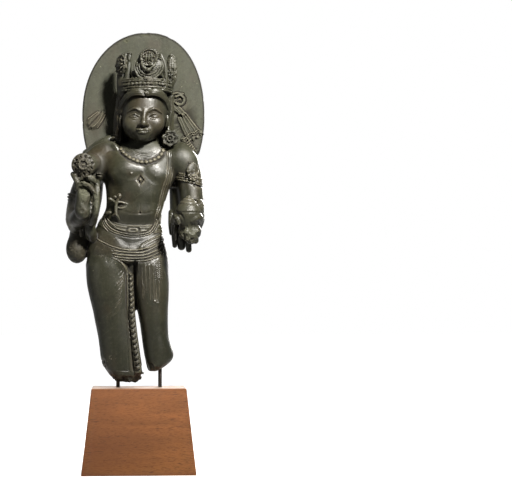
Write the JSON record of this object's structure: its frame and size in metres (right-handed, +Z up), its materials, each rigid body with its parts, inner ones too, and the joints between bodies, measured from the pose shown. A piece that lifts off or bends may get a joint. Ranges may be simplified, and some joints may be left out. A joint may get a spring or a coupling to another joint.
{
  "type": "vishnu figure",
  "caption": "Standing carved stone deity with several arms, lotus, conch, diadem and oval nimbus, broken at the shins, held on rods above a tapered wooden block.",
  "frame": {"origin": "centre of the wooden block's underside", "axes": "+Z up, the figure's front faces -Y, +X to the viewer's right"},
  "size_m": [0.1664, 0.1071, 0.5291],
  "materials": {
    "chlorite": "satin",
    "block_wood": "satin",
    "rod_steel": "satin"
  },
  "bodies": {
    "root": {"vishnu_figure": "chlorite", "wooden_block": "block_wood", "left_mount_rod": "rod_steel", "right_mount_rod": "rod_steel"}
  },
  "joints": []
}
